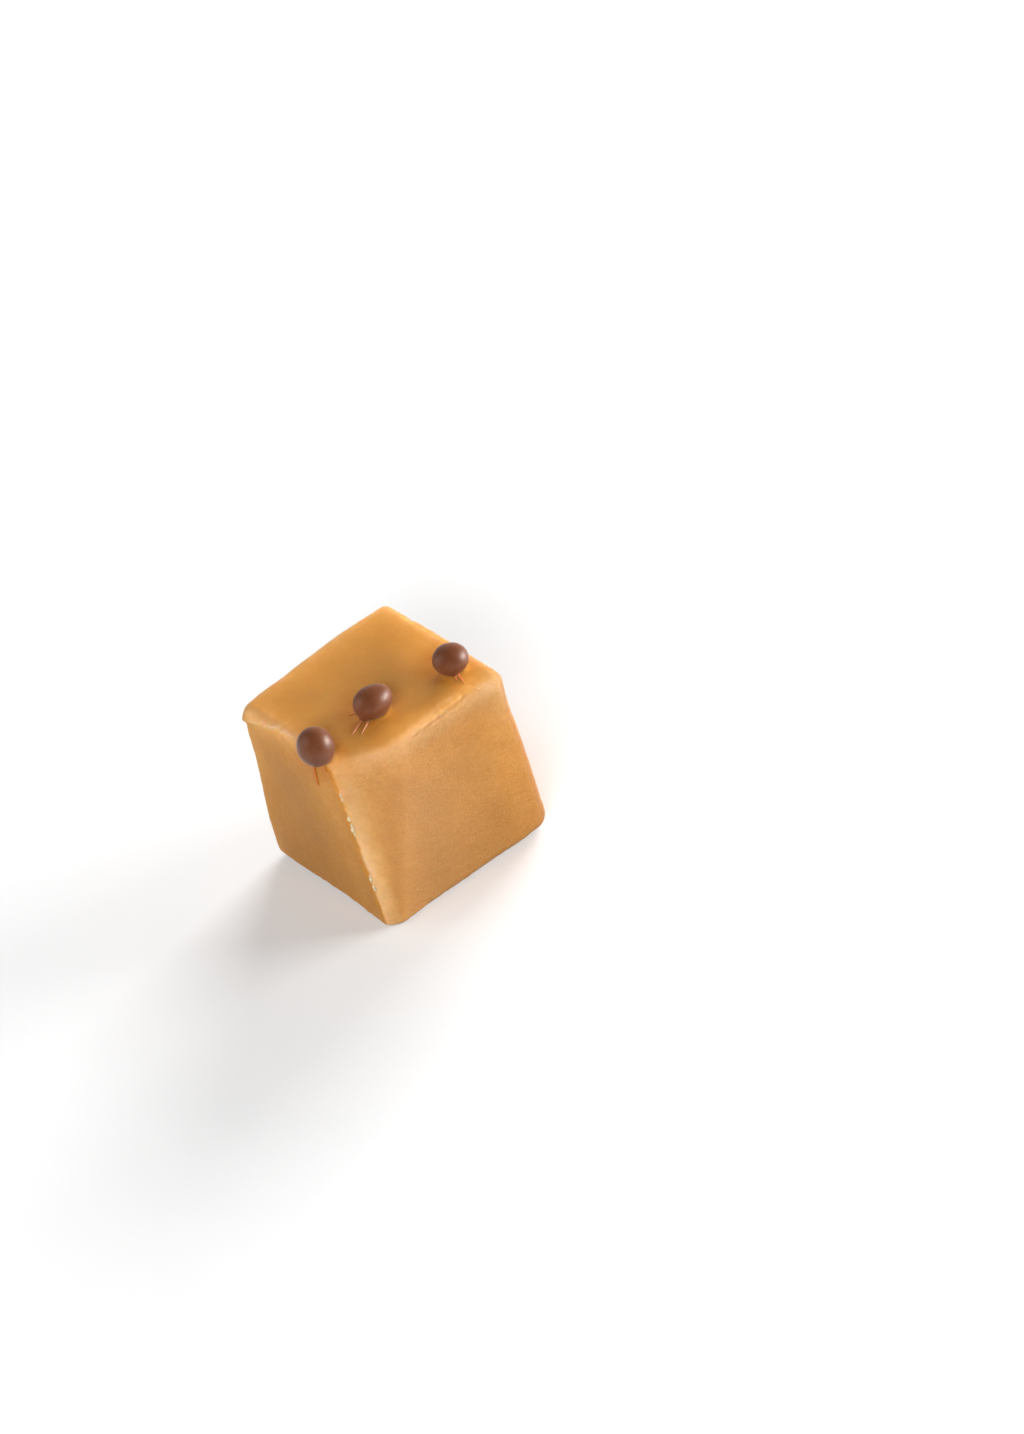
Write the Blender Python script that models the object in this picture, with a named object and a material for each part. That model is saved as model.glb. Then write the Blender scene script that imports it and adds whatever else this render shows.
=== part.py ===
"""Cube of caramel fudge with three milk chocolate drops in a row on its top.

The block stands on its flat base, with the origin at the middle of the base and +Z up.
+X runs along the row of drops, and -Y is the broad cut face in front of the row.
Every size is in metres.
"""
import math

import bmesh
import bpy
import numpy as np

MM = 0.001

# Block
HEIGHT = 26.95 * MM             # base to top, at the middle of the top
TOP_WIDTH = 26.6 * MM           # along X, at the top edge
TOP_DEPTH = 26.4 * MM           # along Y, at the top edge
FLARE_X = 0.85 * MM             # how much further out each X side stands at the base
FLARE_Y = 0.50 * MM             # and each Y side

# Rounding radius at each corner, by its X, Y and Z side; an edge's runs from one corner's to the other's
CORNER_RADIUS = {
    (-1, -1, +1): 0.8 * MM,
    (+1, -1, +1): 1.7 * MM,
    (-1, +1, +1): 2.4 * MM,
    (+1, +1, +1): 1.3 * MM,
    (-1, -1, -1): 0.45 * MM,
    (+1, -1, -1): 2.3 * MM,
    (-1, +1, -1): 2.2 * MM,
    (+1, +1, -1): 1.8 * MM,
}

# Worn upright edge between the left (-X) and front (-Y) faces: how much of each face it takes.
# It leaves the front face smoothly and meets the left one in a crisp line.
WORN_LEFT_TOP = 5.0 * MM
WORN_LEFT_BASE = 1.7 * MM
WORN_FRONT_TOP = 9.5 * MM
WORN_FRONT_BASE = 2.6 * MM
WORN_CURVE = 1.7                # 1 is a flat slant, 2 a parabola

# Soft top edge above the front face
FRONT_EDGE_TOP = 1.9 * MM       # width of the sloping band on the top
FRONT_EDGE_DROP = 1.1 * MM      # how far the band comes down the front
FRONT_EDGE_SOFT = 1.2 * MM

# Lips, where the poured skin of the top stands proud of the cut faces
LEFT_LIP = 0.50 * MM
LEFT_LIP_DEPTH = 1.9 * MM       # below the top
FRONT_LIP = 0.12 * MM
FRONT_LIP_DEPTH = 1.3 * MM
LIP_STEP = 0.5 * MM             # height over which a lip comes out

# Soft hollows and swells of the faces: middle across, middle up or along, reach of each, height
BACK_SWELLS = (
    (5.0 * MM, 25.0 * MM, 6.0 * MM, 7.0 * MM, 0.42 * MM),
    (-6.2 * MM, 26.5 * MM, 2.4 * MM, 5.0 * MM, -0.20 * MM),
    (-13.5 * MM, 27.0 * MM, 4.0 * MM, 5.0 * MM, -0.40 * MM),
)
LEFT_SWELLS = (
    (10.0 * MM, 7.0 * MM, 6.0 * MM, 4.5 * MM, 0.20 * MM),
    (10.0 * MM, 18.0 * MM, 6.0 * MM, 3.5 * MM, -0.20 * MM),
    (-4.0 * MM, 0.0 * MM, 8.0 * MM, 9.0 * MM, -0.42 * MM),
)
RIGHT_SWELLS = (
    (2.0 * MM, 26.0 * MM, 8.0 * MM, 6.0 * MM, 0.24 * MM),
    (-12.5 * MM, 21.5 * MM, 4.0 * MM, 3.0 * MM, -0.22 * MM),
)
FRONT_SWELLS = (
    (11.0 * MM, 0.0 * MM, 8.0 * MM, 12.0 * MM, 0.50 * MM),
    (-9.0 * MM, 0.0 * MM, 7.0 * MM, 10.0 * MM, -0.45 * MM),
)
TOP_SWELLS = (
    (0.0 * MM, 3.0 * MM, 9.0 * MM, 7.0 * MM, -0.22 * MM),
    (-13.5 * MM, 12.0 * MM, 5.0 * MM, 5.0 * MM, -0.30 * MM),
    (5.0 * MM, -5.5 * MM, 3.0 * MM, 1.6 * MM, -0.10 * MM),
)

# Grid of the block's surface
CELLS = 24                      # along each edge
EDGE_CROWDING = 0.62            # 0 spaces the rows evenly, 1 crowds them at the edges
HALVINGS = 40                   # steps of each search along a ray
RAY_LIMIT = 1.5                 # how far past the plain box a ray is searched, as a share of it
BASE_SNAP = 0.001 * MM          # points nearer the base than this lie on it

# Drops: place on the top, rise of the middle over the top, half sizes along X, Y and Z,
# and how much fatter the -X end is
DROPS = {
    "drop_left": dict(x=-13.5 * MM, y=-6.8 * MM, rise=1.95 * MM,
                      half=(2.50 * MM, 2.60 * MM, 2.75 * MM), egg=0.03),
    "drop_middle": dict(x=-2.9 * MM, y=-5.7 * MM, rise=2.0 * MM,
                        half=(2.90 * MM, 2.30 * MM, 2.20 * MM), egg=0.12),
    "drop_right": dict(x=9.25 * MM, y=-7.2 * MM, rise=1.85 * MM,
                       half=(2.50 * MM, 2.45 * MM, 2.05 * MM), egg=0.0),
}
DROP_AROUND = 28
DROP_UP = 16
CLEARANCE = 0.3 * MM            # between a drop and the block

CARAMEL = (0.58, 0.31, 0.11, 1.0)
MILK_CHOCOLATE = (0.17, 0.062, 0.034, 1.0)


def smooth_step(low, high, value):
    t = np.clip((value - low) / (high - low), 0.0, 1.0)
    return t * t * (3.0 - 2.0 * t)


def soft_max(a, b, softness):
    overlap = np.maximum(softness - np.abs(a - b), 0.0)
    return np.maximum(a, b) + overlap * overlap / (4.0 * softness)


def swell(u, v, hills):
    height = 0.0
    for middle_u, middle_v, reach_u, reach_v, rise in hills:
        height = height + rise * np.exp(-((u - middle_u) / reach_u) ** 2 - ((v - middle_v) / reach_v) ** 2)
    return height


def corner_radius(x, y, z):
    """Radius at a point, blended between the eight corners."""
    share = (
        np.clip(0.5 + x / TOP_WIDTH, 0.0, 1.0),
        np.clip(0.5 + y / TOP_DEPTH, 0.0, 1.0),
        np.clip(z / HEIGHT, 0.0, 1.0),
    )
    radius = 0.0
    for sides, corner in CORNER_RADIUS.items():
        weight = 1.0
        for side, part in zip(sides, share):
            weight = weight * (part if side > 0 else 1.0 - part)
        radius = radius + corner * weight
    return radius


def slant(top, front, width, drop):
    """Slanting face that reaches width across the top and drop down the front."""
    slope = np.sqrt(width ** -2 + drop ** -2)
    return (1.0 + top / drop + front / width) / slope


def wear_front(left, front, take_left, take_front):
    """The front face's distance with its side towards the left face worn back."""
    share = np.maximum(1.0 + left / take_front, 0.0)
    slope = WORN_CURVE * take_left / take_front * share ** (WORN_CURVE - 1.0)
    return (front + take_left * share ** WORN_CURVE) / np.sqrt(1.0 + slope * slope)


def block_distance(points):
    """Distance of each point from the block's surface, negative inside."""
    x, y, z = points[:, 0], points[:, 1], points[:, 2]
    down = np.clip(1.0 - z / HEIGHT, 0.0, 1.0)
    half_x = TOP_WIDTH / 2 + FLARE_X * down
    half_y = TOP_DEPTH / 2 + FLARE_Y * down

    left_lip = LEFT_LIP * smooth_step(-10.0 * MM, 9.0 * MM, y)
    left_lip = left_lip * smooth_step(-LIP_STEP, LIP_STEP, z - (HEIGHT - LEFT_LIP_DEPTH))
    front_lip = FRONT_LIP * smooth_step(-9.0 * MM, -2.0 * MM, x) * smooth_step(-12.0 * MM, -6.0 * MM, -x)
    front_lip = front_lip * smooth_step(-LIP_STEP, LIP_STEP, z - (HEIGHT - FRONT_LIP_DEPTH))

    left = -x - half_x - left_lip - swell(y, z, LEFT_SWELLS)
    right = x - half_x - swell(y, z, RIGHT_SWELLS)
    front = -y - half_y - front_lip - swell(x, z, FRONT_SWELLS)
    back = y - half_y - swell(x, z, BACK_SWELLS)
    top = z - HEIGHT - swell(x, y, TOP_SWELLS)
    base = -z

    worn_left = WORN_LEFT_TOP + (WORN_LEFT_BASE - WORN_LEFT_TOP) * down
    worn_front = WORN_FRONT_TOP + (WORN_FRONT_BASE - WORN_FRONT_TOP) * down
    front = wear_front(left, front, worn_left, worn_front)
    top_edge = slant(top, front, FRONT_EDGE_TOP, FRONT_EDGE_DROP)

    # The sides in pairs, each rounded into the next
    radius = corner_radius(x, y, z)
    sides = np.stack((np.maximum(left, right), np.maximum(front, back), np.maximum(top, base)), axis=1)
    past = sides + radius[:, None]
    box = np.linalg.norm(np.maximum(past, 0.0), axis=1) + np.minimum(past.max(axis=1), 0.0) - radius
    return soft_max(box, top_edge, FRONT_EDGE_SOFT)


def fudge_material():
    material = bpy.data.materials.new("caramel_fudge")
    material.use_nodes = True
    shader = material.node_tree.nodes["Principled BSDF"]
    shader.inputs["Base Color"].default_value = CARAMEL
    shader.inputs["Roughness"].default_value = 0.5
    shader.inputs["Metallic"].default_value = 0.0
    return material


def chocolate_material():
    material = bpy.data.materials.new("milk_chocolate")
    material.use_nodes = True
    shader = material.node_tree.nodes["Principled BSDF"]
    shader.inputs["Base Color"].default_value = MILK_CHOCOLATE
    shader.inputs["Roughness"].default_value = 0.34
    shader.inputs["Metallic"].default_value = 0.0
    return material


def mesh_object(name, shape, collection, material):
    mesh = bpy.data.meshes.new(name)
    shape.to_mesh(mesh)
    shape.free()
    mesh.materials.append(material)
    mesh.shade_smooth()
    item = bpy.data.objects.new(name, mesh)
    collection.objects.link(item)
    return item


def crowd(value):
    """Moves a place between -1 and 1 towards the nearer end."""
    return (1.0 - EDGE_CROWDING) * value + EDGE_CROWDING * np.sin(value * math.pi / 2)


def share_allowed(start, rays, limit, allowed):
    """How far each ray can be followed while allowed(points) holds, as a share of the ray up to limit."""
    near = np.where(allowed(start + rays * limit), limit, 0.0)
    far = np.full(len(rays), limit)
    for _ in range(HALVINGS):
        halfway = (near + far) / 2
        good = allowed(start + rays * halfway[:, None])
        near = np.where(good, halfway, near)
        far = np.where(good, far, halfway)
    return near[:, None]


def in_block(points):
    return block_distance(points) <= 0.0


def clear_of_block(points):
    return block_distance(points) >= CLEARANCE


def make_fudge(collection, material):
    """A cube's grid of points, each moved along its ray from the middle to the block's surface."""
    shape = bmesh.new()
    bmesh.ops.create_cube(shape, size=2.0)
    bmesh.ops.subdivide_edges(shape, edges=shape.edges[:], cuts=CELLS - 1, use_grid_fill=True)
    rays = crowd(np.array([vertex.co for vertex in shape.verts]))
    rays *= (TOP_WIDTH / 2, TOP_DEPTH / 2, HEIGHT / 2)
    middle = np.array((0.0, 0.0, HEIGHT / 2))
    surface = middle + rays * share_allowed(middle, rays, RAY_LIMIT, in_block)
    surface[surface[:, 2] < BASE_SNAP, 2] = 0.0
    for vertex, place in zip(shape.verts, surface):
        vertex.co = place
    bmesh.ops.triangulate(shape, faces=shape.faces[:])
    return mesh_object("fudge", shape, collection, material)


def make_drop(name, collection, material, x, y, rise, half, egg):
    """A ball made egg shaped, and pressed flat where it would come nearer the block than CLEARANCE."""
    shape = bmesh.new()
    bmesh.ops.create_uvsphere(shape, u_segments=DROP_AROUND, v_segments=DROP_UP, radius=1.0)
    ball = np.array([vertex.co for vertex in shape.verts])
    ball[:, 1:] *= (1.0 - egg * ball[:, 0])[:, None]
    ball *= half
    middle = np.array((x, y, HEIGHT + rise))
    ball *= share_allowed(middle, ball, 1.0, clear_of_block)
    for vertex, place in zip(shape.verts, ball):
        vertex.co = place
    bmesh.ops.triangulate(shape, faces=shape.faces[:])
    drop = mesh_object(name, shape, collection, material)
    drop.location = middle
    return drop


def main():
    for item in list(bpy.data.objects):
        bpy.data.objects.remove(item)
    collection = bpy.data.collections.new("fudge_cube")
    bpy.context.scene.collection.children.link(collection)
    make_fudge(collection, fudge_material())
    chocolate = chocolate_material()
    for name, drop in DROPS.items():
        make_drop(name, collection, chocolate, **drop)


main()
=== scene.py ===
import math
import random

import bmesh
import bpy
import numpy as np
from mathutils import Matrix, Vector, noise


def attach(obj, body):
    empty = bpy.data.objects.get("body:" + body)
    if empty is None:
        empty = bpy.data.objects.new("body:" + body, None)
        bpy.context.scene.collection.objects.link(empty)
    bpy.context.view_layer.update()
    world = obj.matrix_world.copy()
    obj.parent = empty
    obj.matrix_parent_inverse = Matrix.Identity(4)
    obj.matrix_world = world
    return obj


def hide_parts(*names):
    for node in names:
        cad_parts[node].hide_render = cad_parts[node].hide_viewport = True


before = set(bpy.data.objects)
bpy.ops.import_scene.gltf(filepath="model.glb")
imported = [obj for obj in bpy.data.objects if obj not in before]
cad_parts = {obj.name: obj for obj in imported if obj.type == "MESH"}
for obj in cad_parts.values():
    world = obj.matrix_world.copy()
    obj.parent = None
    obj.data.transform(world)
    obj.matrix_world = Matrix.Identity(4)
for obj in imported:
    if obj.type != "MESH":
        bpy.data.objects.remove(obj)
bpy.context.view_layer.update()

MM = 0.001

# Sides: axis, and sign along it
LEFT = (0, -1.0)
RIGHT = (0, 1.0)
FRONT = (1, -1.0)
TOP = (2, 1.0)

# Block
HEIGHT = 26.95 * MM             # base to top, at the middle of the top
TOP_WIDTH = 26.6 * MM           # along X, at the top edge
TOP_DEPTH = 26.4 * MM           # along Y, at the top edge
FLARE_X = 0.85 * MM             # how much further out each X side stands at the base
FLARE_Y = 0.50 * MM             # and each Y side

# Rounding radius at each corner, by its X, Y and Z side; an edge's runs from one corner's to the other's
CORNER_RADIUS = {
    (-1, -1, +1): 0.8 * MM,
    (+1, -1, +1): 1.7 * MM,
    (-1, +1, +1): 2.4 * MM,
    (+1, +1, +1): 1.3 * MM,
    (-1, -1, -1): 0.45 * MM,
    (+1, -1, -1): 2.3 * MM,
    (-1, +1, -1): 2.2 * MM,
    (+1, +1, -1): 1.8 * MM,
}

# Worn upright edge between the left (-X) and front (-Y) faces: how much of each face it takes.
# It leaves the front face smoothly and meets the left one in a crisp line.
WORN_LEFT_TOP = 5.0 * MM
WORN_LEFT_BASE = 1.7 * MM
WORN_FRONT_TOP = 9.5 * MM
WORN_FRONT_BASE = 2.6 * MM
WORN_CURVE = 1.7                # 1 is a flat slant, 2 a parabola
WORN_LINE_FACES = 0.91          # how far the surface faces left along the crisp line
WORN_LINE_WIDTH = 0.09          # in the same measure
WORN_LINE_TURN = (0.0, 0.15)    # towards the front

# Soft top edge above the front face
FRONT_EDGE_TOP = 1.9 * MM       # width of the sloping band on the top
FRONT_EDGE_DROP = 1.1 * MM      # how far the band comes down the front
FRONT_EDGE_SOFT = 1.2 * MM

# Lips, where the poured skin of the top stands proud of the cut faces
LEFT_LIP = 0.50 * MM
LEFT_LIP_Y = (-10.0 * MM, 9.0 * MM)
LEFT_LIP_DEPTH = 1.9 * MM       # below the top, at the back
LEFT_LIP_RISEN = 0.45 * MM      # below the top, at the middle and the front
LEFT_LIP_BACK = 9.6 * MM        # along Y
FRONT_LIP = 0.12 * MM
FRONT_LIP_START_X = (-9.0 * MM, -2.0 * MM)
FRONT_LIP_END_X = (12.0 * MM, 6.0 * MM)
FRONT_LIP_DEPTH = 1.3 * MM
LIP_STEP = 0.22 * MM            # height over which a lip comes out

# Waves of the lips' lower lines and of the crease: pitch and phase of each sine, and the height of them all
LIP_WAVE = 0.22 * MM            # how far the left lip's line wanders
LIP_WAVE_SIZE = 3.0 * MM
LIP_WAVE_Y = (11.0 * MM, 7.0 * MM)      # the back end of the lip has none
FRONT_WAVE = 0.4 * LIP_WAVE     # how far the front lip's line wanders
CREASE_WAVE = 0.3 * LIP_WAVE
WAVE_SINES = ((1.0, 0.0), (1.73, 1.1), (2.61, 2.3))
WAVE_HEIGHT = 2.2

# Soft hollows and swells of the faces: middle across, middle up or along, reach of each, height
BACK_SWELLS = (
    (5.0 * MM, 25.0 * MM, 6.0 * MM, 7.0 * MM, 0.42 * MM),
    (-6.2 * MM, 26.5 * MM, 2.4 * MM, 5.0 * MM, -0.20 * MM),
    (-13.5 * MM, 27.0 * MM, 4.0 * MM, 5.0 * MM, -0.40 * MM),
)
LEFT_SWELLS = (
    (10.0 * MM, 7.0 * MM, 6.0 * MM, 4.5 * MM, 0.20 * MM),
    (10.0 * MM, 18.0 * MM, 6.0 * MM, 3.5 * MM, -0.20 * MM),
    (-4.0 * MM, 0.0 * MM, 8.0 * MM, 9.0 * MM, -0.42 * MM),
)
RIGHT_SWELLS = (
    (2.0 * MM, 26.0 * MM, 8.0 * MM, 6.0 * MM, 0.24 * MM),
    (-12.5 * MM, 21.5 * MM, 4.0 * MM, 3.0 * MM, -0.22 * MM),
)
FRONT_SWELLS = (
    (11.0 * MM, 0.0 * MM, 8.0 * MM, 12.0 * MM, 0.50 * MM),
    (-9.0 * MM, 0.0 * MM, 7.0 * MM, 10.0 * MM, -0.45 * MM),
)
TOP_SWELLS = (
    (0.0 * MM, 3.0 * MM, 9.0 * MM, 7.0 * MM, -0.22 * MM),
    (-13.5 * MM, 12.0 * MM, 5.0 * MM, 5.0 * MM, -0.30 * MM),
    (5.0 * MM, -5.5 * MM, 3.0 * MM, 1.6 * MM, -0.10 * MM),
)

# Grid of the block's surface, and the searches for it
CELLS = 126                     # along each edge
EDGE_CROWDING = 0.55            # 0 spaces the rows evenly, 1 crowds them at the edges
HALVINGS = 26                   # steps of each search along a ray
RAY_LIMIT = 1.5                 # how far past the plain box a ray is searched, as a share of it
BASE_SNAP = 0.001 * MM          # points nearer the base than this lie on it
NORMAL_STEP = 0.02 * MM
ONTO_STEPS = 6                  # steps that move a point onto the surface

# Relief on the block: height of each kind, and the size, the octaves and the seed of its bumps
SLOW_RISE = 0.07 * MM           # slow unevenness of every face
SLOW_BUMPS = (6.0 * MM, 1, 3.1)
KNIFE_RISE = 0.035 * MM         # grain of the cut faces
KNIFE_BUMPS = (1.5 * MM, 2, 7.7)
FINE_RISE = 0.014 * MM
FINE_BUMPS = (0.6 * MM, 1, 1.9)
EDGE_RISE = 0.11 * MM           # roughness of the cut edges
EDGE_BUMPS = (1.3 * MM, 2, 5.3)
EDGE_REACH = 1.0 * MM           # how far it goes in from an edge
ROUGH_RISE = 0.05 * MM          # fine roughness of every cut edge
ROUGH_BUMPS = (0.5 * MM, 2, 0.7)
ROUGH_REACH = 0.5 * MM
FRACTAL_FADE = 0.6              # how fast the octaves of all bumps fade
FRACTAL_STEP = 2.0              # how much finer each octave is
CUT_TURN = (0.55, 0.85)         # towards the top: what faces it less was cut
BASE_FADE_Z = (0.0, 0.6 * MM)   # the relief dies out towards the base

# Crease under the front face's top edge, and the broken ridge over it. A stretch of 0.5 doubles the length of
# the bumps along its axis, and each strength is a middle, a swing and a least value.
CREASE_DEPTH = 0.15 * MM
CREASE_WIDTH = 0.14 * MM
CREASE_HEIGHT = 26.12 * MM      # at the middle of the face
CREASE_SLOPE = 0.035            # it climbs towards +X
CREASE_START_X = (-3.5 * MM, -1.5 * MM)
CREASE_END_X = (10.0 * MM, 7.0 * MM)
CREASE_TURN = (0.0, 0.3)        # towards the front
CREASE_STRETCH = (0.6, 1.0, 1.0)
CREASE_BUMPS = (0.8 * MM, 2, 4.4)
CREASE_STRENGTH = (0.8, 0.7, 0.2)
RIDGE_RISE = 0.035 * MM
RIDGE_WIDTH = 0.22 * MM
RIDGE_OVER = 0.42 * MM          # height of the ridge over the crease
RIDGE_START_X = (-8.0 * MM, -3.0 * MM)
RIDGE_END_X = (12.0 * MM, 9.0 * MM)
RIDGE_STRETCH = (0.4, 1.0, 1.0)
RIDGE_BUMPS = (0.6 * MM, 2, 2.9)
RIDGE_STRENGTH = (0.85, 0.3, 0.0)
STRENGTH_MOST = 1.2
COMBED_RISE = 0.022 * MM        # combed roughness round the ridge and the crease
COMBED_REACH = 0.7 * MM
COMBED_X = (-7.0 * MM, -3.0 * MM)
COMBED_TURN = (0.1, 0.4)        # towards the front
COMBED_STRETCH = (1.6, 0.7, 0.7)
COMBED_BUMPS = (0.45 * MM, 2, 9.9)

# Pale seam along the left lip's lower edge
SEAM_RISE = 0.10 * MM
SEAM_WIDTH = 0.24 * MM
SEAM_OVER = 0.24 * MM           # height over the lip's line
SEAM_START_Y = (-3.0 * MM, 1.0 * MM)
SEAM_END_Y = (11.5 * MM, 9.5 * MM)
SEAM_TURN = (0.1, 0.5)          # towards the left
SEAM_STRETCH = (1.0, 0.5, 1.0)
SEAM_BUMPS = (0.6 * MM, 2, 6.1)
SEAM_STRENGTH = (0.75, 0.5, 0.0)

# Little bites along the worn edge's crisp line, the pressed lump near its top, and the small nick in the
# top's right edge
NIBBLE_DEPTH = 0.22 * MM
NIBBLE_BUMPS = (0.9 * MM, 2, 8.8)
NIBBLE_OUT = 0.15               # how far the line may come out between two bites, as a share of the depth
NIBBLE_Z = (26.0 * MM, 24.0 * MM)
LUMP = np.array((-11.3, -11.0, 23.6)) * MM
LUMP_REACH = 1.5 * MM
LUMP_RISE = 0.16 * MM
LUMP_FLAT = 4                   # the higher, the flatter its top
NICK = np.array((13.1, 7.5, 26.7)) * MM
NICK_REACH = 0.7 * MM
NICK_DEPTH = 0.30 * MM

# Rise of the block's skin round a drop's foot; its middle is a share of the drop's half depth
FOOT_RISE = 0.147 * MM
FOOT_MIDDLE = 0.675
FOOT_SPREAD = 0.028125          # its width squared, in the same measure
FOOT_TURN = (0.6, 0.95)         # towards the top

# Pale band along the edges. It is narrow where the distance from the nearest edge has one of these added.
WORN_LEFT_PALE = 3.0 * MM       # on the left face next to the worn edge
WORN_LEFT_TURN = (0.90, 0.96)
WORN_LEFT_NEAR = (-3.0 * MM, 0.0)       # distance from the worn front face
RIGHT_EDGE_SHADE = 2.0 * MM           # painted shade along the front face's right edge, which takes the pale band off it
RIGHT_EDGE_SHADE_X = (9.0 * MM, 12.5 * MM)
RIGHT_EDGE_SHADE_TURN = (0.0, 0.5)
RIGHT_SIDE_SHADE = 2.5 * MM      # painted shade on the right face itself
RIGHT_SIDE_TURN = (0.15, 0.6)
TOP_FRONT_DEEP = 0.6 * MM       # on the top next to the front edge
TOP_FRONT_TURN = (0.90, 0.985)
TOP_FRONT_Y = (-6.0 * MM, -11.0 * MM)
TOP_PALE = 0.35                 # share taken off the distance, high on the front face, where the band is wide
TOP_PALE_TURN = (0.4, 0.8)
TOP_PALE_Z = (14.0 * MM, 25.0 * MM)
RIDGE_PALE = 0.5                # how much of the ridge is as pale as the seam
PALE_MOST = 0.92

# Painted shade: a darker band under the front face's top edge
BAND_WIDE = 0.35                # share of it that reaches far down the face
BAND_WIDE_Z = (19.0 * MM, 23.0 * MM)
BAND_Z = (22.4 * MM, 25.0 * MM)
BAND_START_X = (-8.0 * MM, -1.0 * MM)
BAND_END_X = (12.0 * MM, 8.5 * MM)

# Where the colours of the front and the right face begin; the right face's colour is painted shade
FRONT_TURN = (0.3, 0.7)
RIGHT_TURN = (0.1, 0.5)

# Painted highlight: a pale corner where the top, the front and the right face meet
HIGHLIGHT_CORNER = np.array((12.7, -12.9, 26.2)) * MM
CORNER_REACH = np.array((2.7, 2.7, 5.4)) * MM           # it reaches twice as far down

# Palest strip of the worn edge: paler worn fudge, and painted light where the edge catches it
STRIP_START_TURN = (0.40, 0.62)     # towards the left
STRIP_END_TURN = (0.94, 0.88)
STRIP_FRONT_TURN = (0.0, 0.2)
STRIP_START_Z = (1.0 * MM, 4.0 * MM)
STRIP_END_Z = (22.0 * MM, 16.0 * MM)

# Painted shadow behind the drops, and painted warm glow before them
SHADOW_GLOW_BACK = 1.2 * MM           # how far the painted shadow and glow round each drop are shifted to the back
SHADOW_GLOW_FADE = (2.1, 0.8)         # as shares of the drop's half size
SHADOW_GLOW_SPLIT_Y = (-2.2 * MM, 0.3 * MM)   # from the drop's middle, painted glow to painted shadow
SHADOW_GLOW_Z = (20.0 * MM, 25.0 * MM)

# Drops: place on the top, rise of the middle over the top, half sizes along X, Y and Z,
# and how much fatter the -X end is
DROPS = {
    "drop_left": dict(x=-13.5 * MM, y=-6.8 * MM, rise=1.95 * MM,
                      half=(2.50 * MM, 2.60 * MM, 2.75 * MM), egg=0.03),
    "drop_middle": dict(x=-2.9 * MM, y=-5.7 * MM, rise=2.0 * MM,
                        half=(2.90 * MM, 2.30 * MM, 2.20 * MM), egg=0.08),
    "drop_right": dict(x=9.25 * MM, y=-7.2 * MM, rise=1.85 * MM,
                       half=(2.50 * MM, 2.45 * MM, 2.05 * MM), egg=0.0),
}
DROP_AROUND = 96
DROP_UP = 64
DROP_SINK = 0.05 * MM           # how far a drop's foot is let into the block
DROP_UNEVEN = 0.012             # unevenness of a drop, as a share of its half size
DROP_BUMP_SIZE = 0.9            # in the same measure
DROP_SEED = 20.0 / MM           # times the drop's X

# Tail at each drop's foot, where it tore off: direction, and reach as a share of the drop's half size
TAILS = {
    "drop_left": ((0.25, -0.45, -0.85), 0.08),
    "drop_middle": ((-0.75, -0.10, -0.65), 0.13),
    "drop_right": ((-0.40, -0.62, -0.67), 0.08),
}
TAIL_WIDTH = 0.24               # radians

# Threads of chocolate that run from the drops, in mm: the drop, the ends as X, Y, Z on or near the block,
# how soon the thread comes to its end's Y (1 is a straight line), the side sway and the width at the start
THREADS = (
    ("drop_left", (-13.3, -5.4, 26.1), (-13.5, -4.1, 20.7), 3.0, 0.12, 0.84),
    ("drop_left", (-13.3, -6.5, 26.2), (-13.3, -7.4, 24.7), 1.0, 0.0, 0.50),
    ("drop_middle", (-4.1, -5.1, 26.95), (-7.9, -6.45, 26.95), 1.0, 0.12, 0.50),
    ("drop_middle", (-4.3, -5.75, 26.95), (-6.95, -7.7, 26.95), 1.0, -0.08, 0.38),
    ("drop_middle", (-3.7, -4.7, 26.95), (-5.6, -2.9, 26.95), 3.0, 0.03, 0.34),
    ("drop_right", (9.3, -7.95, 26.95), (8.26, -10.6, 26.9), 1.0, 0.10, 0.42),
    ("drop_right", (8.7, -7.6, 26.95), (8.17, -9.7, 26.9), 1.0, -0.10, 0.38),
)
THREAD_TIP = 0.6                # width at the end, as a share of the width at the start
THREAD_RINGS = 18
THREAD_SIDES = 10
THREAD_FLAT = 0.75              # height of a thread as a share of its width
THREAD_LIFT = 0.55              # how far its middle lies over the skin, as a share of half its height
THREAD_SWAY = 1.6               # half waves of the side sway
THREAD_STUB = 0.02              # squared share of the width that is left at the very end
THREAD_BLUNT = 8                # the higher, the shorter the rounded end

# Crumbs of fudge, in mm: pale chips on the worn edge, at these heights, and specks on the top's edges
CHIP_HEIGHTS = (21.4, 20.7, 17.6, 16.5, 15.9, 15.2, 8.2, 7.7, 6.4, 6.0)
CHIP_SIZES = (0.19, 0.24, 0.27, 0.23, 0.32, 0.21, 0.18, 0.23, 0.26, 0.20)
SPECKS = ((4.9, -12.1, 26.3, 0.06), (2.2, -12.2, 26.2, 0.06),
          (9.2, -12.4, 26.2, 0.08), (10.4, -12.5, 26.1, 0.07),
          (12.6, -9.9, 26.9, 0.10), (12.7, -10.4, 26.8, 0.07))
LOOSE_CRUMBS = 40               # tiny ones strewn on the cut faces
LOOSE_SIZE = (0.025, 0.055)
LOOSE_ACROSS = (-12.0, 12.0)
LOOSE_HEIGHTS = (3.0, 24.5)
LOOSE_FRONT = 0.6               # share of them on the front face
LOOSE_LEFT_SCALE = 0.7          # those on the left face keep to its back
LOOSE_LEFT_BACK = 3.0
CRUMB_SEED = 11
CRUMB_SHAPE = Vector((0.8, 0.8, 1.5))
CRUMB_LUMPS = 0.55
CRUMB_LUMP_RATE = 1.1
CRUMB_OCTAVES = 3
CRUMB_FINE = 3                  # subdivisions of each crumb's ball
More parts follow.
